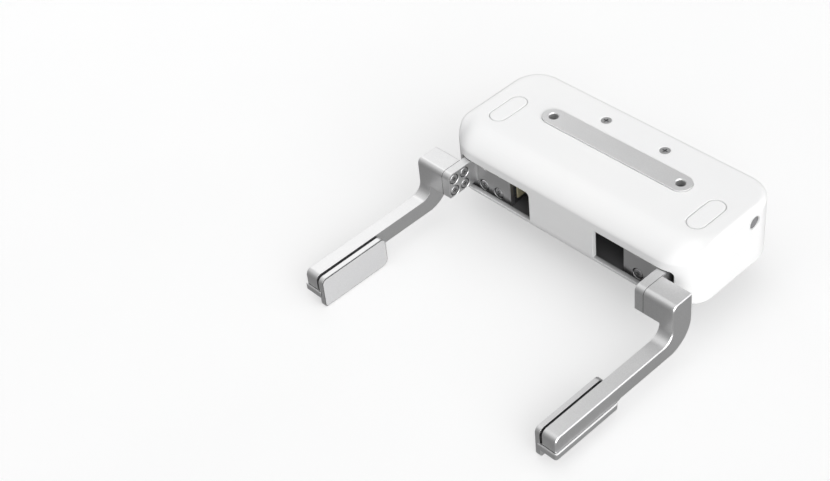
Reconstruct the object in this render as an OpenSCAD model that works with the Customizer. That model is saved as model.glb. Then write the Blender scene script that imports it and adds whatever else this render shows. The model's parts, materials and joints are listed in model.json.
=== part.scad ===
// Electric parallel two-finger gripper, built as separate pieces.
// Millimetres. X runs from the left finger to the right finger, Y to the back, Z up.
// Origin: centre of the two mounting holes, on the top face of the mount plate.
// Inside the modules, positions are measured from the middle of the body's flat top.

/* [Body shell] */
// overall length of the body, end to end
body_l = 174.6; // [168:0.2:182]
// distance from the body centre line to the front face
body_front = 38.4; // [36:0.2:42]
// distance from the body centre line to the back face
body_back = 37; // [35:0.2:42]
// height of the body from its top to its bottom edge
body_h = 38; // [38:0.2:44]
// plan radius of the two front corners
corner_front = 20; // [19:0.5:22]
// plan radius of the two back corners
corner_back = 18; // [15:0.5:22]
// how far the soft front top edge drops down the front face
edge_front = 9.7; // [7:0.1:10]
// how far the soft front top edge reaches back over the top
crown_front = 18; // [12:0.5:18.5]
// rounding of the other top edges
edge_top = 3.5; // [2:0.5:4]
// wall thickness of the sides
wall = 2.9; // [2.4:0.1:3.1]
// thickness of the roof
roof = 3; // [2.5:0.1:3]

// how far the soft bottom edge of the front drops under the front face
under_front = 2.4; // [1:0.1:2.5]
// height of the soft bottom edge of the front
under_up = 5; // [2:0.5:5]

/* [Front slots] */
// inner end of each slot, from the centre line
slot_in = 22.9; // [15:0.1:28]
// outer end of each slot, from the centre line
slot_out = 76.2; // [76.2:0.1:78]
// top edge of the slots below the body top
slot_top = 14.4; // [13.8:0.1:14.6]
// bottom edge of the slots below the body top
slot_bottom = 34.4; // [33:0.1:34.8]

/* [Mounting] */
// distance between the two mounting holes
mount_pitch = 90; // [80:1:95]
// position of the mounting holes behind the body centre line
mount_y = 6.9; // [4:0.1:9]
// width of the mount plate
mount_w = 13; // [11:0.2:14]
// height of the mount plate above the body top
mount_proud = 0.9; // [0.5:0.1:1.5]
// diameter of the mounting bores
mount_d = 5.5; // [4.2:0.1:6]
// diameter of the chamfer at the mouth of the mounting bores
mount_chamfer_d = 6.6; // [6.2:0.1:7]

/* [Fingers] */
// inner face of the carriage arm that holds the finger, from the centre line
arm_in = 67; // [66:0.1:67.4]
// thickness of that arm
arm_t = 5.7; // [4:0.1:6]
// outer face of the finger, from the centre line
finger_out = 92.1; // [90:0.1:95]
// width of the finger bar
finger_w = 8.85; // [8:0.05:9.6]
// top of the finger block below the body top
block_top = 14.9; // [14.8:0.1:15.2]
// bottom of the finger block below the body top
block_bottom = 30.8; // [29:0.1:31]
// front face of the finger block, from the body centre line
block_front = 56.1; // [54:0.1:60]
// back face of the finger block, from the body centre line
block_back = 41.3; // [40:0.1:43]
// top of the finger bar below the body top
bar_top = 38; // [36:0.1:39]
// bottom of the finger bar below the body top
bar_bottom = 47.6; // [46:0.1:50]
// tip of the finger bar, from the body centre line
tip = 144; // [120:1:170]
// outside bend radius of the finger
bend_r = 17; // [15:0.5:17]
// bright chamfer around the outer face of the finger
finger_ch = 0.55; // [0.3:0.05:0.8]

/* [Pads] */
// inner gripping face of the pad, from the centre line
pad_in = 78.4; // [77:0.1:79]
// thickness of the pad together with its grip sheet
pad_t = 3.25; // [3:0.05:3.6]
// thickness of the grip sheet
sheet_t = 0.35; // [0.2:0.05:0.6]
// thickness of the flange under the finger bar
flange_t = 3.7; // [3:0.1:4]
// back end of the pad, from the body centre line
pad_back = 96.9; // [90:0.5:104]
// top edge of the pad below the body top
pad_top = 38.4; // [38:0.1:39]
// bottom edge of the pad below the body top
pad_bottom = 57.9; // [54:0.1:64]

/* [Drive] */
// number of pinion teeth, an even number
teeth = 14; // [12:2:14]
// gear module
gear_m = 1; // [0.9:0.05:1]
// free travel of each finger towards the middle from the shown place
travel_in = 37; // [30:1:37]

/* [Hidden] */
eps = 0.02;
$fn = 64;
zc = -22;                    // height of the pinion axis
rp = gear_m * teeth / 2;     // pitch radius
wf = body_front - wall;      // inner face of the front wall
wb = body_back - wall;       // inner face of the back wall
wx = body_l / 2 - wall;      // inner face of the ends
br_f = 34.2;                 // front face of the carriage bracket
br_b = 31.2;                 // back face of the carriage bracket
rail_z = -24.4;              // height of the guide rail centre
rail_f = 25.2;               // front face of the rail
rail_b = 20;               // back face of the rail
cover_x = 20.8;
cover_y = 23.4;
ins_x = 70.07;
ins_y = -3.5;
port_y = 15.1;
port_z = -8.7;
port_r = 3.85;
scr_x = [50.6, 61.8];
scr_z = [-31.9, -16.6];
lug_x = [57.8, 66];
fs_y = [-51.85, -43.85];
fs_z = [-19.2, -27.3];
pp = PI * gear_m;            // tooth pitch

white = [0.94, 0.94, 0.94];
alu = [0.74, 0.75, 0.76];
steel = [0.62, 0.63, 0.65];
black = [0.06, 0.06, 0.07];
brass = [0.62, 0.57, 0.36];

// ---------- helpers ----------
module place() translate([0, -mount_y, -mount_proud]) children();
module box(a, b) translate(a) cube(b - a);
// draws a YZ outline and runs it from x0 to x1
module exx(x0, x1) translate([x0, 0, 0]) rotate([90, 0, 90]) linear_extrude(x1 - x0) children();
// draws an XZ outline and runs it from y0 to y1
module exy(y0, y1) translate([0, y1, 0]) rotate([90, 0, 0]) linear_extrude(y1 - y0) children();
module exz(z0, z1) translate([0, 0, z0]) linear_extrude(z1 - z0) children();
module rr(a, b, r) {
  translate([a[0] + r, a[1]]) square([b[0] - a[0] - 2 * r, b[1] - a[1]]);
  translate([a[0], a[1] + r]) square([b[0] - a[0], b[1] - a[1] - 2 * r]);
  for (x = [a[0] + r, b[0] - r], y = [a[1] + r, b[1] - r]) translate([x, y]) circle(r);
}
// rectangle with its own radius at each corner: lower left, lower right, upper right, upper left
module rr4(a, b, r) {
  difference() {
    translate(a) square(b - a);
    if (r[0] > 0) translate([a[0] - 1, a[1] - 1]) square(r[0] + 1);
    if (r[1] > 0) translate([b[0] - r[1], a[1] - 1]) square(r[1] + 1);
    if (r[2] > 0) translate([b[0] - r[2], b[1] - r[2]]) square(r[2] + 1);
    if (r[3] > 0) translate([a[0] - 1, b[1] - r[3]]) square(r[3] + 1);
  }
  if (r[0] > 0) translate([a[0] + r[0], a[1] + r[0]]) circle(r[0]);
  if (r[1] > 0) translate([b[0] - r[1], a[1] + r[1]]) circle(r[1]);
  if (r[2] > 0) translate([b[0] - r[2], b[1] - r[2]]) circle(r[2]);
  if (r[3] > 0) translate([a[0] + r[3], b[1] - r[3]]) circle(r[3]);
}
module stadium(half, r, along = 0) rotate(along) {
  translate([-half, -r]) square([2 * half, 2 * r]);
  for (s = [-1, 1]) translate([s * half, 0]) circle(r);
}
// a cylinder along an axis from p, of length h
module cx(p, r, h) translate(p) rotate([0, 90, 0]) cylinder(h = h, r = r);
module cy(p, r, h) translate(p) rotate([-90, 0, 0]) cylinder(h = h, r = r);
module cz(p, r, h) translate(p) cylinder(h = h, r = r);
// cross-recess screw, head top at the origin, pointing down -Z
module cross(l, w, d) for (a = [0, 90]) rotate(a) translate([-l / 2, -w / 2, -d]) cube([l, w, d + 1]);
module cap_screw(hr, hh, sr, len) {
  difference() {
    union() {
      translate([0, 0, -hh]) cylinder(h = hh - 0.3, r = hr);
      translate([0, 0, -0.3]) cylinder(h = 0.3, r1 = hr, r2 = hr - 0.3);
    }
    cross(hr * 1.05, hr * 0.25, hh * 0.5);
  }
  translate([0, 0, -hh - len]) cylinder(h = len + eps, r = sr);
}
module flat_screw(hr, sr, len) {
  difference() {
    translate([0, 0, -(hr - sr)]) cylinder(h = hr - sr, r1 = sr, r2 = hr);
    cross(hr * 1.1, hr * 0.26, (hr - sr) * 0.75);
  }
  translate([0, 0, -(hr - sr) - len]) cylinder(h = len + eps, r = sr);
}

// ---------- outer skin of the body: soft crown along the front, small rounding elsewhere ----------
nc = 28;
nu = 12;
nb = 5;
edge_bot = 0.9;
top_corner = 14;             // front corner radius of the flat top
corners = [[1, 1, 0], [-1, 1, 90], [-1, -1, 180], [1, -1, 270]];
// share of the front profile at a plan angle
function share(a, sy) = sy > 0 ? 0 : let(u = min(1, max(0, asin(abs(sin(a))) - 12) / 45)) u * u * (3 - 2 * u);
function mixv(p, q, f) = p + (q - p) * f;
// point of the top edge profile: how far in, and how high
function edge_in(u, f) = 3 * (1 - u) * u * u * mixv(0.45 * edge_top, 0.39 * crown_front, f)
  + u * u * u * mixv(edge_top, crown_front, f);
function edge_z(u, f) = let(h = mixv(edge_top, edge_front, f), v = 1 - u)
  -v * v * v * h - 3 * v * v * u * (h - mixv(0.55 * edge_top, 1.8, f));
// one level of the skin: a rounded rectangle, set in from the ends, the front and the back
function ring(u) = let(e = edge_in(u, 0), g = edge_in(u, 1), rb = corner_back - e,
  rf = mixv(corner_front, top_corner, u * u * (3 - 2 * u)))
  [for (c = corners) let(q = c[1] > 0 ? rb : rf, ox = c[0] * (body_l / 2 - e - q),
  oy = c[1] > 0 ? body_back - e - q : -(body_front - g - q))
  for (i = [0:nc]) let(a = c[2] + 90 * i / nc) [ox + q * cos(a), oy + q * sin(a), edge_z(u, share(a, c[1]))]];
function ring_bot(u) = let(e = edge_bot * (1 - cos(u)), g = under_front * (1 - cos(u)))
  [for (c = corners) let(q = (c[1] > 0 ? corner_back : corner_front) - e,
  ox = c[0] * (body_l / 2 - e - q), oy = c[1] > 0 ? body_back - e - q : -(body_front - g - q))
  for (i = [0:nc]) let(a = c[2] + 90 * i / nc)
  [ox + q * cos(a), oy + q * sin(a), -body_h + mixv(edge_bot, under_up, share(a, c[1])) * (1 - sin(u))]];
module skin() {
  n = 4 * (nc + 1);
  rows = concat([for (j = [0:nb]) ring_bot(90 - 90 * j / nb)], [for (j = [0:nu]) ring(j / nu)]);
  m = len(rows);
  pts = [for (r = rows) each r];
  sides = [for (j = [0:m - 2]) for (i = [0:n - 1]) let(k = (i + 1) % n)
    each [[j * n + i, (j + 1) * n + k, j * n + k], [j * n + i, (j + 1) * n + i, (j + 1) * n + k]]];
  polyhedron(points = pts, faces = concat(sides, [[for (i = [0:n - 1]) i]],
    [[for (i = [n - 1:-1:0]) (m - 1) * n + i]]));
}
module plan_in(g = 0, more = 0) {
  rf = corner_front - wall - g + more;
  rb = corner_back - wall - g;
  rr4([-(wx - g), -(wf - g)], [wx - g, wb - g], [rf, rf, rb, rb]);
}
module cavity() {
  exz(-body_h - 1, -12) plan_in();
  intersection() {
    exz(-12 - eps, -roof) plan_in(0, 5);
    exx(-body_l, body_l) polygon([[-wf, -13], [-wf, -12], [-wf + 2, -9.2], [-wf + 7.5, -5.2], [-wf + 13.5, -roof],
      [wb, -roof], [wb, -13]]);
  }
}
module slot2d(s) {
  a = s > 0 ? slot_in : -slot_out;
  b = s > 0 ? slot_out : -slot_in;
  rr4([a, -slot_bottom], [b, -slot_top], [0.8, 0.8, 2.6, 2.6]);
}
module housing_shell() color(white) place() difference() {
  skin();
  cavity();
  for (s = [-1, 1]) exy(-body_front - 5, -wf + 6) slot2d(s);
  translate([0, mount_y, -roof - 1]) linear_extrude(roof + 2) stadium(mount_pitch / 2, mount_w / 2 + 0.12);
  for (s = [-1, 1]) {
    translate([s * ins_x, ins_y, -2.2]) linear_extrude(3) stadium(7.55, 5.47 + 0.14, 90);
    cz([s * cover_x, cover_y, -roof - 1], 1.65, roof + 2);
    translate([s * cover_x, cover_y, -1.75]) cylinder(h = 1.9, r1 = 1.65, r2 = 3.45);
  }
  cx([body_l / 2 - 8, port_y, port_z], port_r, 12);
}
module bottom_cover() color(white) place() difference() {
  exz(-body_h, -body_h + 1.8) plan_in(0.2);
  for (s = [-1, 1], y = [2, 26]) translate([s * 74, y, -body_h - eps]) {
    cylinder(h = 1.5, r1 = 3, r2 = 1.6);
    cylinder(h = 5, r = 1.6);
  }
}
module bottom_cover_screws() color(steel) place()
  for (s = [-1, 1], y = [2, 26]) translate([s * 74, y, -body_h + 0.1]) rotate([180, 0, 0]) flat_screw(2.8, 1.5, 6);

module mount_plate() color(alu) place() difference() {
  exz(-roof, mount_proud) translate([0, mount_y]) stadium(mount_pitch / 2, mount_w / 2);
  for (s = [-1, 1]) translate([s * mount_pitch / 2, mount_y, 0]) {
    translate([0, 0, -9]) cylinder(h = 12, r = mount_d / 2);
    translate([0, 0, mount_proud - (mount_chamfer_d - mount_d) / 2]) cylinder(h = (mount_chamfer_d - mount_d) / 2 + eps, r1 = mount_d / 2, r2 = mount_chamfer_d / 2 + eps);
  }
  for (x = [-32, -12, 12, 32]) cz([x, mount_y, -roof - 1], 1.55, 3.6);
}
module mount_plate_screws() color(steel) place()
  for (x = [-32, -12, 12, 32]) translate([x, mount_y, -5.8]) rotate([180, 0, 0]) {
    difference() { cylinder(h = 2, r = 2.75); translate([0, 0, 1]) cylinder(h = 2, r = 1.4, $fn = 6); }
    translate([0, 0, -5.2]) cylinder(h = 5.2 + eps, r = 1.5);
  }
module cover_screws() color(steel) place()
  for (s = [-1, 1]) translate([s * cover_x, cover_y, -0.25]) flat_screw(3.04, 1.5, 3.8);

module insert(s) color(white) place() translate([s * ins_x, ins_y, -2.2]) linear_extrude(2.2) stadium(7.55, 5.47 - 0.14, 90);

// ---------- fixed inner frame ----------
module chassis() color(alu) place() difference() {
  union() {
    exz(-5.8, -roof) difference() {
      rr([-78, -21.2], [78, 29], 5);
      translate([64, 8]) square([20, 14.2]);
    }
    exz(-5.8, -roof) { translate([-81.4, -21.2]) square([20, 12]); translate([61.4, -21.2]) square([20, 12]); }
    box([-78.6, -rail_b, rail_z - 5.5], [78.6, -17.2, rail_z + 5.5]);
    box([-11, -rail_b, -36], [11, -17.2, -5.7]);
    for (s = [-1, 1]) {
      exz(-35.8, -14) translate([s * 79.9, -22.1]) square([3, 9.8], center = true);
      exz(-14.1, -5.7) translate([s * 79.9, -18.6]) square([3, 2.8], center = true);
    }
  }
  for (s = [-1, 1]) {
    translate([s * mount_pitch / 2, mount_y, -9]) cylinder(h = 8, r = mount_d / 2);
    cz([s * cover_x, cover_y, -7], 1.55, 5);
    for (y = [2, 26]) cz([s * 74, y, -7], 1.6, 5);
  }
  for (x = [-32, -12, 12, 32]) cz([x, mount_y, -7], 1.6, 5);
  for (x = [-10, 10]) { cz([x, -2, -7], 1.6, 5); translate([x, -2, -4.8]) cylinder(h = 1.9, r1 = 1.6, r2 = 3.3); }
  for (x = [-70, -50, -30, -10, 10, 30, 50, 70]) cy([x, -24, rail_z], 1.55, 8);
  cy([0, -22, zc], 3.6, 8);
  cy([0, -19.5, zc], 5.02, 8);
  for (s = [-1, 1]) cx([s * 79.9 - 3, -25, -16.9], 1.05, 6);
}
module guide_rail() color(steel) place() difference() {
  exx(-77, 77) difference() {
    translate([-rail_f, rail_z - 4.5]) square([rail_f - rail_b, 9]);
    for (s = [-1, 1]) translate([-23.1, rail_z + s * 4.9]) circle(0.9);
  }
  for (x = [-70, -50, -30, -10, 10, 30, 50, 70]) {
    cy([x, -rail_f - 1, rail_z], 1.75, 9);
    cy([x, -rail_f - 1, rail_z], 3, 3.8);
  }
}
module rail_screws() color(steel) place()
  for (x = [-70, -50, -30, -10, 10, 30, 50, 70]) difference() {
    union() { cy([x, -25, rail_z], 2.75, 2.6); cy([x, -22.6, rail_z], 1.5, 5); }
    translate([x, -26, rail_z]) rotate([-90, 0, 0]) cylinder(h = 2.4, r = 1.45, $fn = 6);
  }
module end_bumpers() color(black) place()
  for (s = [-1, 1]) {
    cx([s > 0 ? 75.9 : -78.4, -25, -16.9], 2, 2.5);
    cx([s > 0 ? 78.4 - eps : -80.4, -25, -16.9], 1, 2 + eps);
  }
module shaft_bearing() color(steel) place() difference() {
  cy([0, -19.5, zc], 5, 2.2);
  cy([0, -20, zc], 3.05, 4);
  for (y = [-19.6, -17.6]) translate([0, y, zc]) rotate([-90, 0, 0]) difference() { cylinder(h = 0.4, r = 4.3); translate([0, 0, -1]) cylinder(h = 3, r = 3.6); }
}
module motor_mount() color(alu) place() difference() {
  union() {
    exy(-8.4, -5.4) rr([-15, -35.6], [15, -5.8], 2);
    box([-15, -8.4, -8.8], [15, 3, -5.8]);
  }
  cy([0, -9, zc], 6.05, 5);
  for (a = [45, 135, 225, 315]) translate([10 * cos(a), 0, zc + 10 * sin(a)]) {
    cy([0, -9, 0], 1.3, 5);
    translate([0, -8.4 - eps, 0]) rotate([-90, 0, 0]) cylinder(h = 1.4, r1 = 2.65, r2 = 1.3);
  }
  cy([0, -5.4, zc], 13, 12);
  for (x = [-10, 10]) cz([x, -2, -10], 1.55, 6);
}
module motor_mount_screws() color(steel) place()
  for (x = [-10, 10]) translate([x, -2, -3.15]) flat_screw(2.9, 1.45, 4.2);
module gearbox_housing() color(steel) place() difference() {
  union() {
    cy([0, -5.4, zc], 12.5, 19.4);
    cy([0, -8.2, zc], 6, 2.9);
  }
  cy([0, -9, zc], 3.3, 10);
  for (a = [45, 135, 225, 315]) cy([10 * cos(a), -6, zc + 10 * sin(a)], 1.3, 6);
  for (y = [-1.5, 6.5]) translate([0, y, zc]) rotate([-90, 0, 0]) difference() { cylinder(h = 0.6, r = 14); translate([0, 0, -1]) cylinder(h = 3, r = 12.1); }
}
module gearbox_screws() color(steel) place()
  for (a = [45, 135, 225, 315]) translate([10 * cos(a), -8.3, zc + 10 * sin(a)]) rotate([90, 0, 0]) flat_screw(2.4, 1.2, 5);
module motor_can() color(steel) place() difference() {
  union() {
    cy([0, 14, zc], 12, 15.6);
    cy([0, 14, zc], 11, 16.6);
  }
  for (a = [30, 150, 270]) translate([10.2 * cos(a), 29, zc + 10.2 * sin(a)]) rotate([-90, 0, 0]) cylinder(h = 3, r = 0.9);
}
module encoder_cap() color(black) place() {
  cy([0, 30.6, zc], 9.5, 2.6);
  box([-4, 30.6, zc + 8], [4, 33.2, zc + 13]);
}
module standoffs() color(steel) place() for (s = [-1, 1], y = [2, 26]) difference() {
  union() {
    cz([s * 74, y, -36.2], 3, 30.4);
    cz([s * 74, y, -5.82], 1.55, 2.6);
  }
  cz([s * 74, y, -37], 1.55, 8);
}

// ---------- electronics ----------
bx0 = 20; bx1 = 66; by0 = -2; by1 = 30;
module controller_board() color([0.1, 0.3, 0.18]) place() difference() {
  exz(-33, -31.4) rr([bx0, by0], [bx1, by1], 2);
  for (x = [bx0 + 3, bx1 - 3], y = [by0 + 3, by1 - 3]) cz([x, y, -35], 1.3, 5);
}
module board_components() color(black) place() {
  box([34, 8, -31.4], [44, 18, -29.8]);
  box([50, 4, -31.4], [56, 10, -29.6]);
  box([50, 14, -31.4], [60, 20, -27.4]);
  box([26, 6, -31.4], [30, 22, -25.4]);
  cz([60, 7, -31.4], 2.5, 7);
  cz([30, 26, -31.4], 2.5, 7);
  box([38, 22, -31.4], [48, 27, -26.4]);
}
module board_spacers() color(steel) place()
  for (x = [bx0 + 3, bx1 - 3], y = [by0 + 3, by1 - 3]) difference() {
    cz([x, y, -36.2], 2.4, 3.2);
    cz([x, y, -37], 1.3, 5);
  }
module board_screws() color(steel) place()
  for (x = [bx0 + 3, bx1 - 3], y = [by0 + 3, by1 - 3]) translate([x, y, -29.9]) cap_screw(2.2, 1.5, 1.2, 4.5);
module port_socket() color([0.5, 0.5, 0.5]) place() difference() {
  union() {
    cx([81.6, port_y, port_z], 3.75, body_l / 2 - 0.9 - 81.6);
    cx([82.2, port_y, port_z], 5.2, wx - 0.1 - 82.2);
    cx([72, port_y, port_z], 3.75, 10);
  }
  cx([84, port_y, port_z], 3.2, 10);
}
module port_insert() color([0.48, 0.48, 0.48]) place() difference() {
  cx([84, port_y, port_z], 3.2, body_l / 2 - 1.0 - 84);
  for (a = [45, 135, 225, 315]) cx([85, port_y + 1.6 * cos(a), port_z + 1.6 * sin(a)], 0.3, 4);
}

// ---------- gears ----------
rb = rp * cos(20);
function inv(t) = [rb * (cos(t) + t * PI / 180 * sin(t)), rb * (sin(t) - t * PI / 180 * cos(t))];
function invr(t) = norm(inv(t));
function tin(r) = sqrt(r * r / (rb * rb) - 1) * 180 / PI;
function pang(t) = atan2(inv(t)[1], inv(t)[0]);
half_t = (pp / 2 - 0.12) / 2 / rp * 180 / PI;
r_add = rp + 0.9 * gear_m;
r_ded = rp - 1.0 * gear_m;
function pol(r, a) = [r * cos(a), r * sin(a)];
function tooth(c) = let(a0 = half_t + pang(tin(rp)))
  concat([pol(r_ded, c - a0)],
    [for (i = [0:5]) let(r = rb + (r_add - rb) * i / 5, t = tin(r)) pol(r, c - a0 + pang(t))],
    [for (i = [5:-1:0]) let(r = rb + (r_add - rb) * i / 5, t = tin(r)) pol(r, c + a0 - pang(t))],
    [pol(r_ded, c + a0)]);
module pinion() color(steel) place() translate([0, 0, zc]) difference() {
  union() {
    exy(-16.3, -9.1) polygon([for (i = [0:teeth - 1]) each tooth(90 + 360 / teeth * i)]);
    cy([0, -16.9, 0], 4.6, 0.7);
  }
  cy([0, -18, 0], 3, 12);
}
module pinion_shaft() color(steel) place() cy([0, -19.6, zc], 3, 19.6);
function rack_tooth(x, a, d) = let(h = (pp / 2 - 0.12) / 2)
  [[x - h - d * tan(20), -d], [x - h + a * tan(20), a], [x + h - a * tan(20), a], [x + h + d * tan(20), -d]];
// lower rack, teeth up; flip = true gives the upper rack for the other side
module rack_bar() exy(-16.5, -8.9) difference() {
  union() {
    translate([-10, -1.1 * gear_m - 4.4]) square([79, 4.4]);
    for (k = [-3:floor((travel_in + 5.5) / pp)]) polygon(rack_tooth((k + 0.5) * pp, 0.75 * gear_m, 1.1 * gear_m + eps));
  }
}
module rack_right() color(steel) place() difference() {
  union() {
    translate([0, 0, zc - rp]) rack_bar();
    box([55, -22.2, -34.5], [69, -16.5 + eps, -30.3]);
  }
  for (x = lug_x) { cy([x, -24, -32.4], 1.1, 9); cy([x, -20, -32.4], 1.95, 14); }
}
module rack_left() color(steel) place() difference() {
  union() {
    translate([0, 0, zc + rp]) mirror([1, 0, 0]) mirror([0, 0, 1]) rack_bar();
    box([-69, -22.2, -18.5], [-55, -16.5 + eps, -9.5]);
  }
  for (x = lug_x) { cy([-x, -24, -16], 1.1, 9); cy([-x, -20, -16], 1.95, 14); }
}
module rack_screws(s) color(steel) place()
  for (x = lug_x) translate([s * x, 0, s > 0 ? -32.4 : -16]) difference() {
    union() { cy([0, -25.8, 0], 1, 6); cy([0, -20, 0], 1.85, 2); }
    translate([0, -19.1, 0]) rotate([-90, 0, 0]) cylinder(h = 3, r = 0.9, $fn = 6);
  }

// ---------- carriages ----------
module carriage_raw(s) difference() {
  exx(41.2, 69) difference() {
    translate([-br_b, -35.6]) square([9, 22.4]);
    translate([-rail_f - 0.3, rail_z - 4.8]) square([8, 9.6]);
  }
  for (x = scr_x, z = scr_z) cy([x, -32, z], 1.55, 6.5);
  for (x = lug_x) cy([x, -26.2, s > 0 ? -32.4 : -16], 1.05, 5);
}
module carriage(s) color(steel) place() if (s > 0) carriage_raw(1); else mirror([1, 0, 0]) carriage_raw(-1);
module wiper2d(g) difference() {
  translate([-br_b + g, -30.8 + g]) square([8.6 - g, 15.8 - 2 * g]);
  translate([-rail_f - 0.4, rail_z - 4.9]) square([8, 9.8]);
}
module sided(s) if (s > 0) children(); else mirror([1, 0, 0]) children();
module wiper(s) color(black) place() sided(s) { exx(39.2, 41.2) wiper2d(0); exx(69, 71.6) wiper2d(0); }
module wiper_plate(s) color(brass) place() sided(s) { exx(38.6, 39.2) wiper2d(0); exx(71.6, 72.2) wiper2d(0); }

module carriage_bracket(s) color(alu) place() sided(s) difference() {
  union() {
    exx(41, 71) rr4([-br_f, -35.8], [-br_b, -12.7], [0.4, 0.4, 0.4, 0.4]);
    exx(arm_in, arm_in + arm_t - 0.3) rr4([-block_front, -block_bottom], [-br_b - 0.5, -block_top], [0.6, 0.3, 0.3, 3.4]);
    exx(arm_in + arm_t - 0.4, arm_in + arm_t) rr4([-block_front + 0.3, -block_bottom + 0.3], [-br_b - 0.8, -block_top - 0.3], [0.4, 0.3, 0.3, 3.1]);
    exz(-block_bottom + 0.3, -block_top - 0.3) difference() {
      translate([arm_in - 1.5, -br_f - 1.5]) square([1.6, 1.6]);
      translate([arm_in - 1.5, -br_f - 1.5]) circle(1.5);
    }
  }
  for (x = scr_x, z = scr_z) {
    cy([x, -36, z], 1.7, 8);
    cy([x, -36, z], 3.4, 3.8);
    translate([x, -br_f - eps, z]) rotate([-90, 0, 0]) cylinder(h = 0.25, r1 = 3.65, r2 = 3.4);
  }
  for (y = fs_y, z = fs_z) {
    cx([arm_in - 1, y, z], 1.7, 9);
    cx([arm_in - 1, y, z], 3.25, 3.7);
    translate([arm_in - eps, y, z]) rotate([0, 90, 0]) cylinder(h = 0.25, r1 = 3.5, r2 = 3.25);
  }
}
module bracket_screws(s) color(steel) place() sided(s)
  for (x = scr_x, z = scr_z) translate([x, -34.1, z]) rotate([90, 0, 0]) cap_screw(2.85, 1.9, 1.5, 6.4);
module finger_screws(s) color(steel) place() sided(s)
  for (y = fs_y, z = fs_z) translate([arm_in + 0.1, y, z]) rotate([0, -90, 0]) cap_screw(2.8, 2.6, 1.5, 8.6);

// ---------- fingers ----------
// cutter that leaves a chamfer where a side meets the outer face: straight along Y, straight along Z, and round a bend
module ch2d(d) polygon([[-finger_ch - 1, 1], [1, 1], [1, -finger_ch - 1]] * d);
module ch_y(y0, y1, z, d) exy(y0, y1) translate([finger_out, z]) scale([1, d]) ch2d(1);
module ch_z(z0, z1, y, d) exz(z0, z1) translate([finger_out, y]) scale([1, d]) ch2d(1);
module ch_round(y, z, r, d, qy, qz) intersection() {
  translate([finger_out, y, z]) rotate([0, 90, 0]) rotate_extrude() polygon([[r - d * (finger_ch + 1), 1], [r + d, 1], [r + d, -finger_ch - 1]]);
  box([finger_out - 4, min(y, y + qy), min(z, z + qz)], [finger_out + 4, max(y, y + qy), max(z, z + qz)]);
}
module finger(s) color(alu) place() sided(s) difference() {
  union() {
    exx(arm_in + arm_t, finger_out) rr4([-block_front, -block_bottom], [-block_back, -block_top], [0.6, 0.5, 0.5, 3.4]);
    exx(finger_out - finger_w, finger_out) {
      difference() {
        union() {
          translate([-block_back - bend_r, -bar_bottom + bend_r]) intersection() {
            circle(bend_r);
            translate([0, -bend_r]) square([bend_r, bend_r]);
          }
          translate([-block_back - bend_r - 8, -bar_bottom]) square([8.01, bend_r + 0.01]);
          translate([-block_front, -bar_bottom + bend_r - 0.2]) square([block_front - block_back, bar_bottom - bend_r - 20]);
        }
        translate([-block_front - 30, -bar_top]) square([30, 30]);
      }
      difference() {
        translate([-block_front - 7.2, -bar_top - 0.1]) square([7.21, 7.3]);
        translate([-block_front - 7.2, -bar_top + 7.2]) circle(7.2);
      }
      rr4([-tip, -bar_bottom], [-block_front, -bar_top], [0.5, 0, 0, 3.4]);
    }
  }
  for (y = fs_y, z = fs_z) cx([arm_in + arm_t - 1, y, z], 1.55, 9);
  for (y = [-111, -131]) cz([finger_out - finger_w / 2, y, -bar_bottom - 1], 1.3, 7);
  ch_y(-block_front + 3.4, -block_back + 2, -block_top, 1);
  ch_round(-block_front + 3.4, -block_top - 3.4, 3.4, 1, -6, 6);
  ch_z(-bar_top + 7.2, -block_top - 3.4, -block_front, -1);
  ch_round(-block_front - 7.2, -bar_top + 7.2, 7.2, -1, 9, -9);
  ch_y(-tip + 3.4, -block_front - 7.2, -bar_top, 1);
  ch_round(-tip + 3.4, -bar_top - 3.4, 3.4, 1, -6, 6);
  ch_z(-bar_bottom - 1, -bar_top - 3.4, -tip, -1);
  ch_z(-bar_bottom + bend_r, -block_top + 2, -block_back, 1);
  ch_round(-block_back - bend_r, -bar_bottom + bend_r, bend_r, 1, 19, -19);
  ch_y(-pad_back, -block_back - bend_r, -bar_bottom, -1);
}
module shim(s) color(black) place() sided(s)
  exx(pad_in + pad_t, finger_out - finger_w) rr4([-tip + 0.9, -bar_bottom], [-pad_back - 0.8, -pad_top - 0.9], [0.1, 0.1, 3.2, 3]);
module pad_bracket(s) color(alu) place() sided(s) difference() {
  union() {
    exx(pad_in + sheet_t, pad_in + pad_t) rr4([-tip - 0.2, -pad_bottom], [-pad_back, -pad_top], [2, 4.2, 3.8, 3.4]);
    intersection() {
      exz(-bar_bottom - flange_t, -bar_bottom) rr4([pad_in + pad_t - 1, -tip - 1], [finger_out + 1, -pad_back - 1.2], [0, 1.6, 3, 0]);
      exy(-tip - 2, -pad_back) polygon([[pad_in, -bar_bottom - flange_t - 1], [finger_out + 1, -bar_bottom - flange_t - 1],
        [finger_out + 1, -bar_bottom - 0.45], [finger_out + 0.55, -bar_bottom], [pad_in, -bar_bottom]]);
      exx(pad_in, finger_out + 2) polygon([[-tip - 1, -bar_bottom - flange_t - 1], [-pad_back - 1.2, -bar_bottom - flange_t - 1],
        [-pad_back - 1.2, -bar_bottom - 0.45], [-pad_back - 1.65, -bar_bottom], [-tip - 0.55, -bar_bottom], [-tip - 1, -bar_bottom - 0.45]]);
    }
  }
  for (y = [-111, -131]) translate([finger_out - finger_w / 2, y, -bar_bottom - flange_t]) {
    translate([0, 0, -eps]) cylinder(h = 1.3, r1 = 2.75, r2 = 1.45);
    translate([0, 0, -1]) cylinder(h = 9, r = 1.45);
  }
}
module grip_sheet(s) color([0.84, 0.84, 0.84]) place() sided(s)
  exx(pad_in, pad_in + sheet_t) rr4([-tip + 0.4, -pad_bottom + 0.6], [-pad_back - 0.6, -pad_top - 0.6], [1.4, 3.6, 3.2, 2.8]);
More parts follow.
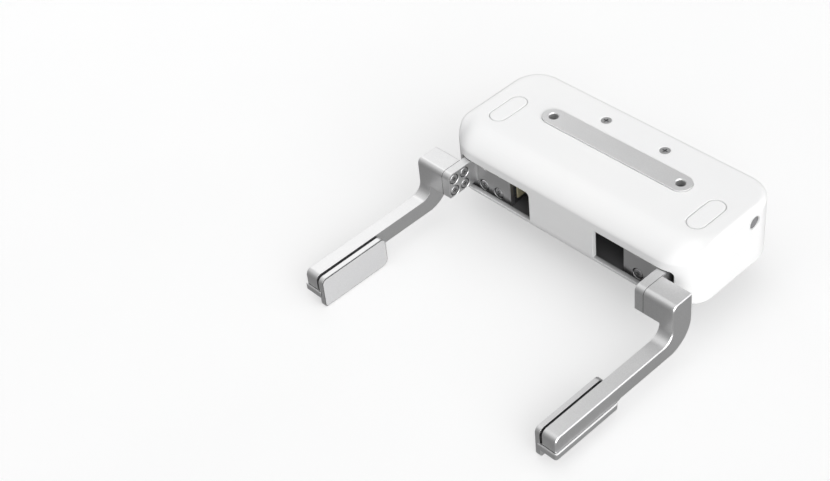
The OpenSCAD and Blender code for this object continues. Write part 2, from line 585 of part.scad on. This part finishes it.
module pad_screws(s) color(steel) place() sided(s)
  for (y = [-111, -131]) translate([finger_out - finger_w / 2, y, -bar_bottom - flange_t + 0.1]) rotate([180, 0, 0]) flat_screw(2.45, 1.25, 7);

housing_shell();
bottom_cover();
bottom_cover_screws();
mount_plate();
mount_plate_screws();
cover_screws();
insert(-1);  // insert_left
insert(1);  // insert_right
chassis();
guide_rail();
rail_screws();
end_bumpers();
shaft_bearing();
motor_mount();
motor_mount_screws();
gearbox_housing();
gearbox_screws();
motor_can();
encoder_cap();
standoffs();
controller_board();
board_components();
board_spacers();
board_screws();
port_socket();
port_insert();
pinion();
pinion_shaft();
carriage(-1);  // carriage_left
wiper(-1);  // wiper_left
wiper_plate(-1);  // wiper_plate_left
carriage_bracket(-1);  // carriage_bracket_left
bracket_screws(-1);  // bracket_screws_left
rack_left();
rack_screws(-1);  // rack_screws_left
finger(-1);  // finger_left
finger_screws(-1);  // finger_screws_left
shim(-1);  // shim_left
pad_bracket(-1);  // pad_bracket_left
grip_sheet(-1);  // grip_sheet_left
pad_screws(-1);  // pad_screws_left
carriage(1);  // carriage_right
wiper(1);  // wiper_right
wiper_plate(1);  // wiper_plate_right
carriage_bracket(1);  // carriage_bracket_right
bracket_screws(1);  // bracket_screws_right
rack_right();
rack_screws(1);  // rack_screws_right
finger(1);  // finger_right
finger_screws(1);  // finger_screws_right
shim(1);  // shim_right
pad_bracket(1);  // pad_bracket_right
grip_sheet(1);  // grip_sheet_right
pad_screws(1);  // pad_screws_right
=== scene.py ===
import bpy, bmesh, json, math
from mathutils import Vector, Matrix

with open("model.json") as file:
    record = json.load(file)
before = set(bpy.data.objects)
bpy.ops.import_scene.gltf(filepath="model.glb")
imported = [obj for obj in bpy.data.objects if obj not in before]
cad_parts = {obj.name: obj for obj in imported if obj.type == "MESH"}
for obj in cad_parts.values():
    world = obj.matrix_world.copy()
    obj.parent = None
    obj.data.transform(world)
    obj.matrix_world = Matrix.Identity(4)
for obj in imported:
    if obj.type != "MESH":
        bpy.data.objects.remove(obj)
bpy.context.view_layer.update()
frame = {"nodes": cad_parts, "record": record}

nodes = frame["nodes"]
sc = bpy.context.scene


# ------------------------------------------------------------------ node helpers
class Mat:
    """Small helper that builds one procedural material."""

    def __init__(self, name):
        self.m = bpy.data.materials.new(name)
        self.m.use_nodes = True
        self.t = self.m.node_tree
        self.n = self.t.nodes
        self.l = self.t.links
        self.bsdf = next(x for x in self.n if x.type == "BSDF_PRINCIPLED")
        self.x = -300
        tc = self.n.new("ShaderNodeTexCoord")
        self.obj = tc.outputs["Object"]

    def new(self, kind, **kw):
        a = self.n.new(kind)
        a.location = (self.x, 0)
        self.x -= 60
        for k, v in kw.items():
            setattr(a, k, v)
        return a

    def scaled(self, s):
        mp = self.new("ShaderNodeMapping")
        self.l.new(self.obj, mp.inputs["Vector"])
        mp.inputs["Scale"].default_value = s if hasattr(s, "__len__") else (s, s, s)
        return mp.outputs["Vector"]

    def noise(self, scale, detail=3.0, rough=0.55, stretch=None, dist=0.0):
        t = self.new("ShaderNodeTexNoise")
        t.inputs["Scale"].default_value = scale
        t.inputs["Detail"].default_value = detail
        t.inputs["Roughness"].default_value = rough
        t.inputs["Distortion"].default_value = dist
        self.l.new(self.scaled(stretch) if stretch else self.obj, t.inputs["Vector"])
        return t.outputs["Fac"]

    def voronoi(self, scale, feature="F1"):
        t = self.new("ShaderNodeTexVoronoi", feature=feature)
        t.inputs["Scale"].default_value = scale
        self.l.new(self.obj, t.inputs["Vector"])
        return t.outputs["Distance"]

    def rng(self, src, a, b, lo, hi, clamp=True):
        t = self.new("ShaderNodeMapRange", clamp=clamp)
        self.l.new(src, t.inputs["Value"])
        for k, v in zip(("From Min", "From Max", "To Min", "To Max"), (a, b, lo, hi)):
            t.inputs[k].default_value = v
        return t.outputs["Result"]

    def math(self, op, a, b=None):
        t = self.new("ShaderNodeMath", operation=op)
        for i, v in enumerate((a, b)):
            if v is None:
                continue
            if isinstance(v, (int, float)):
                t.inputs[i].default_value = v
            else:
                self.l.new(v, t.inputs[i])
        return t.outputs[0]

    def mix(self, fac, a, b):
        t = self.new("ShaderNodeMix", data_type="RGBA")
        for sock, v in ((t.inputs[0], fac), (t.inputs[6], a), (t.inputs[7], b)):
            if isinstance(v, (int, float)):
                sock.default_value = v
            elif isinstance(v, tuple):
                sock.default_value = (*v, 1.0)
            else:
                self.l.new(v, sock)
        return t.outputs[2]

    def bevel(self, radius, samples=6):
        b = self.new("ShaderNodeBevel", samples=samples)
        if isinstance(radius, float):
            b.inputs["Radius"].default_value = radius
        else:
            self.l.new(radius, b.inputs["Radius"])
        return b.outputs["Normal"]

    def axes(self):
        s = self.new("ShaderNodeSeparateXYZ")
        self.l.new(self.obj, s.inputs[0])
        return s.outputs[0], s.outputs[1], s.outputs[2]

    def hypot(self, a, b):
        return self.math("SQRT", self.math("ADD", self.math("MULTIPLY", a, a), self.math("MULTIPLY", b, b)))

    def within(self, v, a, b, soft=0.0002):
        """1 between a and b, 0 outside, with a soft step."""
        return self.math("MULTIPLY", self.rng(v, a - soft, a, 0, 1), self.rng(v, b, b + soft, 1, 0))

    def edge(self, radius):
        """0 on flat faces, rising towards 1 on the very edge."""
        b = self.bevel(radius, 6)
        g = self.new("ShaderNodeNewGeometry")
        d = self.new("ShaderNodeVectorMath", operation="DOT_PRODUCT")
        self.l.new(b, d.inputs[0])
        self.l.new(g.outputs["Normal"], d.inputs[1])
        return self.rng(d.outputs["Value"], 0.995, 0.80, 0.0, 1.0)

    def crevice_shade(self, dist, lo=0.35, hi=0.9):
        """Painted shade mask: 0 in narrow gaps and recesses, 1 on open faces."""
        a = self.new("ShaderNodeAmbientOcclusion", samples=8)
        a.inputs["Distance"].default_value = dist
        return self.rng(a.outputs["AO"], lo, hi, 0.0, 1.0)

    def bump(self, height, dist, strength, normal=None):
        b = self.new("ShaderNodeBump")
        b.inputs["Distance"].default_value = dist
        b.inputs["Strength"].default_value = strength
        self.l.new(height, b.inputs["Height"])
        if normal is not None:
            self.l.new(normal, b.inputs["Normal"])
        return b.outputs["Normal"]

    def set(self, **kw):
        names = {"color": "Base Color", "rough": "Roughness", "metal": "Metallic", "normal": "Normal",
                 "coat": "Coat Weight", "coat_rough": "Coat Roughness", "spec": "Specular IOR Level",
                 "sheen": "Sheen Weight", "sss": "Subsurface Weight", "aniso": "Anisotropic"}
        for k, v in kw.items():
            s = self.bsdf.inputs[names[k]]
            if isinstance(v, (int, float)):
                s.default_value = v
            elif isinstance(v, tuple):
                s.default_value = (*v, 1.0)
            else:
                self.l.new(v, s)
        return self.m


# ------------------------------------------------------------------ materials
def shell_white():
    """White moulded plastic outside; the inside and the slot lips are painted dark as shade."""
    k = Mat("shell_white")
    x, y, z = k.axes()
    ax = k.math("ABSOLUTE", x)
    grain = k.noise(2600, 2.0, 0.6)
    cell = k.voronoi(1900)
    big = k.noise(14, 2.0)
    h = k.math("ADD", k.math("MULTIPLY", grain, 0.7), k.math("MULTIPLY", cell, 0.3))
    slot = k.math("MULTIPLY", k.within(ax, 0.020, 0.079, 0.001), k.math("MULTIPLY", k.within(z, -0.0368, -0.0138, 0.0005), k.rng(y, -0.0405, -0.0395, 1, 0)))
    n = k.bump(h, 0.00004, 0.3, k.bevel(k.rng(slot, 0, 1, 0.0012, 0.00035), 10))
    lf = k.hypot(k.math("MAXIMUM", k.math("SUBTRACT", ax, 0.0673), 0.0), k.math("MAXIMUM", k.math("SUBTRACT", -0.0253, y), 0.0))
    lb = k.hypot(k.math("MAXIMUM", k.math("SUBTRACT", ax, 0.0693), 0.0), k.math("MAXIMUM", k.math("SUBTRACT", y, 0.0121), 0.0))
    crown = k.math("ADD", z, k.math("MULTIPLY", lf, 0.609))
    # Painted shade: the inside of the shell is painted dark where shade falls.
    painted_shade_inside = k.math("MULTIPLY", k.math("MULTIPLY", k.rng(lf, 0.0173, 0.0174, 1, 0), k.rng(lb, 0.0153, 0.0154, 1, 0)),
                    k.math("MULTIPLY", k.rng(crown, 0.0007, 0.0008, 1, 0), k.rng(z, -0.0039, -0.0038, 1, 0)))
    col = k.mix(k.rng(big, 0.3, 0.7, 0, 1), (0.885, 0.887, 0.89), (0.905, 0.905, 0.903))
    # Painted shade: the slot lips get darker from the front edge inwards.
    lip_shade_mask = k.math("MULTIPLY", k.within(ax, 0.0224, 0.0770, 0.0004), k.within(z, -0.0355, -0.0349, 0.0001))
    lip_shade_mask = k.math("MULTIPLY", lip_shade_mask, k.rng(y, -0.0452, -0.0447, 0, 1))
    lip_shade_mask = k.math("MULTIPLY", lip_shade_mask, k.rng(y, -0.0360, -0.0350, 1, 0))
    lip_painted_shade = k.mix(k.rng(y, -0.0447, -0.0424, 0, 1), (0.60, 0.60, 0.605), (0.24, 0.24, 0.243))
    col = k.mix(lip_shade_mask, col, lip_painted_shade)
    col = k.mix(painted_shade_inside, col, (0.17, 0.17, 0.172))
    return k.set(color=col, rough=k.rng(grain, 0.25, 0.75, 0.40, 0.52), normal=n, spec=0.4)


def blasted(name, base, wear_highlight_col, r_lo, r_hi, radius=0.0006, wear_highlight_amt=0.8, metal=1.0, shade_gap=0.0, shade=None):
    """Bead-blasted, anodised aluminium with bright, slightly polished edges: the bright edge colour is partly wear and
    partly a painted highlight.
    """
    k = Mat(name)
    fine = k.noise(2600, 3.0, 0.75)
    pits = k.voronoi(2600)
    blot = k.noise(60, 4.0, 0.6)
    # Edge mask: worn edges, lightened also as a painted highlight.
    e = k.math("MULTIPLY", k.edge(radius), wear_highlight_amt)
    wear_and_highlight = k.math("MULTIPLY", e, k.rng(k.noise(700, 3.0), 0.3, 0.6, 0.55, 1.0))
    lo = tuple(c * 0.955 for c in base)
    hi = tuple(min(1.0, c * 1.03) for c in base)
    col = k.mix(k.rng(blot, 0.3, 0.7, 0, 1), lo, hi)
    speck = k.noise(1500, 2.0, 0.8)
    col = k.mix(k.rng(speck, 0.30, 0.70, 0.0, 1.0), tuple(c * 0.90 for c in base), col)
    col = k.mix(k.rng(fine, 0.35, 0.68, 0.0, 0.35), col, tuple(min(1.0, c * 1.12) for c in base))
    col = k.mix(wear_and_highlight, col, wear_highlight_col)
    if shade:
        # Painted shade: everything behind the given y is darkened.
        sx, sy, sz = k.axes()
        back = k.rng(sy, shade[0], shade[0] + 0.0008, 0.0, 1.0)
        col = k.mix(back, col, tuple(c * shade[1] for c in base))
    # Painted shade: narrow gaps and recesses are darkened.
    if shade_gap:
        col = k.mix(k.crevice_shade(shade_gap), tuple(c * 0.12 for c in base), col)
    h = k.math("ADD", k.math("MULTIPLY", fine, 0.6), k.math("MULTIPLY", pits, 0.4))
    n = k.bump(h, 0.00004, 0.45, k.bevel(radius * 0.8, 8))
    rough = k.math("SUBTRACT", k.rng(fine, 0.3, 0.7, r_lo, r_hi), k.math("MULTIPLY", wear_and_highlight, 0.16))
    return k.set(color=col, rough=rough, metal=metal, normal=n)


def milled(name, base, r_lo, r_hi, stretch, radius=0.00035, metal=1.0, shade_gap=0.0, worn_and_highlight=0.6):
    """Milled or ground metal: fine parallel tool marks along one axis."""
    k = Mat(name)
    lines = k.noise(900, 3.0, 0.6, stretch=stretch)
    blot = k.noise(90, 3.0)
    e = k.edge(radius)
    col = k.mix(k.rng(blot, 0.3, 0.7, 0, 1), tuple(c * 0.92 for c in base), base)
    col = k.mix(k.rng(lines, 0.35, 0.65, 0.0, 0.4), col, tuple(min(1, c * 1.2) for c in base))
    # Edges lightened: partly wear, partly a painted highlight.
    col = k.mix(k.math("MULTIPLY", e, worn_and_highlight), col, tuple(min(1, c * 1.5) for c in base))
    # Painted shade: narrow gaps and recesses are darkened.
    if shade_gap:
        col = k.mix(k.crevice_shade(shade_gap), tuple(c * 0.12 for c in base), col)
    n = k.bump(lines, 0.00003, 0.25, k.bevel(radius, 4))
    return k.set(color=col, rough=k.rng(lines, 0.3, 0.7, r_lo, r_hi), metal=metal, normal=n)


def rubber(name, base):
    k = Mat(name)
    g = k.noise(3000, 3.0, 0.7)
    b = k.noise(120, 3.0)
    col = k.mix(k.rng(b, 0.3, 0.7, 0, 1), tuple(c * 0.8 for c in base), tuple(c * 1.3 for c in base))
    return k.set(color=col, rough=k.rng(g, 0.3, 0.7, 0.6, 0.8), spec=0.2, normal=k.bump(g, 0.00005, 0.4, k.bevel(0.0003, 4)))


def plastic(name, base, r=(0.45, 0.6)):
    k = Mat(name)
    g = k.noise(2400, 2.0, 0.6)
    b = k.noise(80, 2.0)
    col = k.mix(k.rng(b, 0.3, 0.7, 0, 1), tuple(c * 0.93 for c in base), tuple(c * 1.05 for c in base))
    return k.set(color=col, rough=k.rng(g, 0.3, 0.7, *r), normal=k.bump(g, 0.00004, 0.3, k.bevel(0.0003, 4)))


def grip_sheet():
    """Thin light grey sheet with a fine texture; its edge faces are painted dark as a shade line."""
    k = Mat("grip_sheet_grey")
    g = k.noise(2400, 2.0, 0.6)
    speck = k.noise(1500, 2.0, 0.8)
    ge = k.new("ShaderNodeNewGeometry")
    sp = k.new("ShaderNodeSeparateXYZ")
    k.l.new(ge.outputs["True Normal"], sp.inputs[0])
    # Painted shade: faces not facing sideways get a dark colour.
    unshaded_face = k.rng(k.math("ABSOLUTE", sp.outputs[0]), 0.6, 0.8, 0.0, 1.0)
    col = k.mix(k.rng(speck, 0.3, 0.7, 0, 1), (0.545, 0.545, 0.55), (0.595, 0.595, 0.60))
    col = k.mix(unshaded_face, (0.10, 0.10, 0.10), col)
    return k.set(color=col, rough=k.rng(g, 0.3, 0.7, 0.5, 0.62), normal=k.bump(g, 0.00004, 0.35))


def circuit():
    k = Mat("circuit_board")
    br = k.new("ShaderNodeTexBrick")
    k.l.new(k.obj, br.inputs["Vector"])
    br.inputs["Scale"].default_value = 260
    br.inputs["Mortar Size"].default_value = 0.06
    br.inputs["Color1"].default_value = (0.012, 0.09, 0.045, 1)
    br.inputs["Color2"].default_value = (0.016, 0.11, 0.055, 1)
    br.inputs["Mortar"].default_value = (0.03, 0.20, 0.10, 1)
    n = k.bump(br.outputs["Fac"], 0.00003, 0.3)
    return k.set(color=br.outputs["Color"], rough=k.rng(k.noise(900), 0.3, 0.7, 0.2, 0.35), normal=n)


M = {
    "shell": shell_white(),
    # Dark colour painted to stand in for the shade inside the slots.
    "cover": plastic("cover_dark", (0.10, 0.10, 0.103)),
    "finger": blasted("finger_blasted", (0.84, 0.84, 0.842), (0.98, 0.98, 0.98), 0.30, 0.40, 0.00010, 0.4, 1.0, 0.0005),
    "pad": blasted("pad_blasted", (0.84, 0.84, 0.842), (0.98, 0.98, 0.98), 0.30, 0.40, 0.00018, 0.7, 1.0, 0.0008),
    # Painted shade: the bracket is darkened behind y = -0.042 and in its recesses.
    "bracket": blasted("bracket_blasted", (0.84, 0.84, 0.842), (0.95, 0.95, 0.95), 0.34, 0.44, 0.00006, 0.1, 1.0, 0.0008, (-0.0420, 0.80)),
    "plate": blasted("plate_blasted", (0.88, 0.88, 0.882), (0.97, 0.97, 0.97), 0.32, 0.42, 0.00012, 0.15, 0.80),
    "sheet": grip_sheet(),
    "frame": milled("frame_milled", (0.40, 0.40, 0.403), 0.45, 0.6, (0.2, 3, 3), 0.00035, 0.6),
    "rail": milled("rail_ground", (0.34, 0.34, 0.35), 0.26, 0.38, (0.1, 4, 4), 0.00035, 0.8),
    "carriage": milled("carriage_ground", (0.36, 0.36, 0.37), 0.26, 0.4, (0.15, 4, 4)),
    "gear": milled("gear_steel", (0.36, 0.35, 0.34), 0.3, 0.42, (3, 0.3, 3)),
    "screw": milled("screw_steel", (0.50, 0.50, 0.505), 0.42, 0.54, (2, 2, 2), 0.00004, 1.0, 0.0004, 0.0),
    "motor": milled("motor_steel", (0.5, 0.5, 0.51), 0.28, 0.4, (3, 0.2, 3)),
    "rubber": rubber("black_rubber", (0.016, 0.016, 0.017)),
    "black": plastic("black_plastic", (0.024, 0.024, 0.025)),
    "port": plastic("port_grey", (0.24, 0.24, 0.245), (0.35, 0.5)),
    "brass": milled("brass_plate", (0.50, 0.46, 0.30), 0.35, 0.5, (2, 2, 2), 0.0002, 0.25),
    "board": circuit(),
}
SLOT = {
    "shell_plastic": "shell", "cover_plastic": "cover", "grip_grey": "sheet", "mount_aluminium": "plate", "frame_aluminium": "frame", "rail_steel": "rail",
    "carriage_steel": "carriage", "gear_steel": "gear", "motor_steel": "motor", "screw_steel": "screw",
    "black_plastic": "black", "board_green": "board", "port_grey": "port", "black_rubber": "rubber",
    "brass": "brass", "bracket_aluminium": "bracket", "finger_aluminium": "finger",
}
slot_of = {s["node"]: s["material_slot"] for s in frame["record"]["subparts"]}
for name, ob in nodes.items():
    key = SLOT[slot_of[name]]
    if name.startswith("pad_bracket"):
        key = "pad"
    ob.data.materials.clear()
    ob.data.materials.append(M[key])


# ------------------------------------------------------------------ floor, light, camera
FLOOR_Z = -0.0589
me = bpy.data.meshes.new("floor")
bm = bmesh.new()
S = 6.0
N = 24
vs = [[bm.verts.new((-S + 2 * S * i / N, -S + 2 * S * j / N, FLOOR_Z)) for j in range(N + 1)] for i in range(N + 1)]
for i in range(N):
    for j in range(N):
        bm.faces.new((vs[i][j], vs[i + 1][j], vs[i + 1][j + 1], vs[i][j + 1]))
bm.to_mesh(me)
bm.free()
floor = bpy.data.objects.new("floor", me)
sc.collection.objects.link(floor)
k = Mat("floor_paper")
fn = k.noise(8, 2.0)
k.set(color=k.mix(k.rng(fn, 0.3, 0.7, 0, 1), (0.50, 0.50, 0.50), (0.51, 0.51, 0.51)), rough=k.rng(fn, 0.3, 0.7, 0.85, 0.95), spec=0.1)
k.bsdf.inputs["Emission Color"].default_value = (1, 1, 1, 1)
k.bsdf.inputs["Emission Strength"].default_value = 0.46
me.materials.append(k.m)
floor.visible_glossy = False
floor.visible_diffuse = False

w = bpy.data.worlds.new("studio")
sc.world = w
w.use_nodes = True
wt = w.node_tree
bg = next(x for x in wt.nodes if x.type == "BACKGROUND")
geo = wt.nodes.new("ShaderNodeTexCoord")
sep = wt.nodes.new("ShaderNodeSeparateXYZ")
wt.links.new(geo.outputs["Generated"], sep.inputs[0])


def wmath(op, a, b=0.0):
    t = wt.nodes.new("ShaderNodeMath")
    t.operation = op
    for i, v in enumerate((a, b)):
        if isinstance(v, (int, float)):
            t.inputs[i].default_value = v
        else:
            wt.links.new(v, t.inputs[i])
    return t.outputs[0]


def wrange(v, a, b, lo, hi):
    t = wt.nodes.new("ShaderNodeMapRange")
    t.interpolation_type = "SMOOTHSTEP"
    wt.links.new(v, t.inputs["Value"])
    for key, val in zip(("From Min", "From Max", "To Min", "To Max"), (a, b, lo, hi)):
        t.inputs[key].default_value = val
    return t.outputs["Result"]


def lobe(direction, outer, inner, amp):
    """A round soft light far away: full inside the inner angle, gone beyond the outer angle (degrees)."""
    d = wt.nodes.new("ShaderNodeVectorMath")
    d.operation = "DOT_PRODUCT"
    wt.links.new(geo.outputs["Generated"], d.inputs[0])
    d.inputs[1].default_value = Vector(direction).normalized()
    return wrange(d.outputs["Value"], math.cos(math.radians(outer)), math.cos(math.radians(inner)), 0.0, amp)


SKY, GROUND = 0.335, 0.32
zz = sep.outputs["Z"]
up_mask = wrange(zz, -0.06, 0.04, 0.0, 1.0)
back_dim = wrange(sep.outputs["Y"], 0.2, 0.9, 1.0, 0.70)
upper = wmath("ADD", wmath("MULTIPLY", back_dim, SKY), lobe((-0.445, 0.0, 0.896), 64, 10, 0.29))
lower = wmath("ADD", GROUND, lobe((-0.4, -0.8, -0.5), 60, 10, -0.08))
total = wmath("ADD", wmath("MULTIPLY", upper, up_mask), wmath("MULTIPLY", lower, wmath("SUBTRACT", 1.0, up_mask)))
total = wmath("ADD", total, lobe((0.868, -0.341, 0.36), 42, 17, 3.05))
total = wmath("ADD", total, lobe((0.62, 0.49, 0.61), 26, 12, 1.25))
total = wmath("ADD", total, lobe((0.10, -0.10, 0.99), 55, 10, 0.32))
wt.links.new(total, bg.inputs["Color"])
bg.inputs["Strength"].default_value = 1.0


def sun(name, direction, strength, angle):
    d = bpy.data.lights.new(name, "SUN")
    d.energy = strength
    d.angle = math.radians(angle)
    o = bpy.data.objects.new(name, d)
    sc.collection.objects.link(o)
    o.rotation_euler = Vector(direction).normalized().to_track_quat("Z", "Y").to_euler()
    return o


def softbox(name, pos, target, w_m, h_m, radiance):
    d = bpy.data.lights.new(name, "AREA")
    d.shape = "RECTANGLE"
    d.size, d.size_y = w_m, h_m
    d.energy = radiance * math.pi * w_m * h_m
    o = bpy.data.objects.new(name, d)
    sc.collection.objects.link(o)
    o.location = pos
    o.rotation_euler = (Vector(pos) - Vector(target)).normalized().to_track_quat("Z", "Y").to_euler()
    o.visible_camera = False
    return o


sun("key", (0.95, -0.30, 0.10), 0.15, 50)
softbox("soft_left", (-0.58, 0.22, 0.44), (-0.05, -0.05, -0.03), 0.34, 0.50, 0.79)

cam_d = bpy.data.cameras.new("cam")
cam_d.sensor_fit = "HORIZONTAL"
cam_d.sensor_width = 36.0
cam_d.lens = 1587.33 * 36.0 / 830.0
cam_d.clip_start = 0.02
cam_d.clip_end = 50
cam = bpy.data.objects.new("cam", cam_d)
sc.collection.objects.link(cam)
az, el, roll = math.radians(50.82), math.radians(41.68), math.radians(-7.01)
back = Vector((math.sin(az) * math.cos(el), -math.cos(az) * math.cos(el), math.sin(el)))
fwd = -back
right = fwd.cross(Vector((0, 0, 1))).normalized()
up = right.cross(fwd)
R = math.cos(roll) * right + math.sin(roll) * up
U = -math.sin(roll) * right + math.cos(roll) * up
cam.matrix_world = Matrix((
    (R.x, U.x, back.x, 0.444398),
    (R.y, U.y, back.y, -0.508901),
    (R.z, U.z, back.z, 0.544286),
    (0, 0, 0, 1)))
sc.camera = cam
sc.view_settings.view_transform = "Standard"
sc.view_settings.look = "None"
sc.view_settings.exposure = 0.0

bpy.context.view_layer.update()
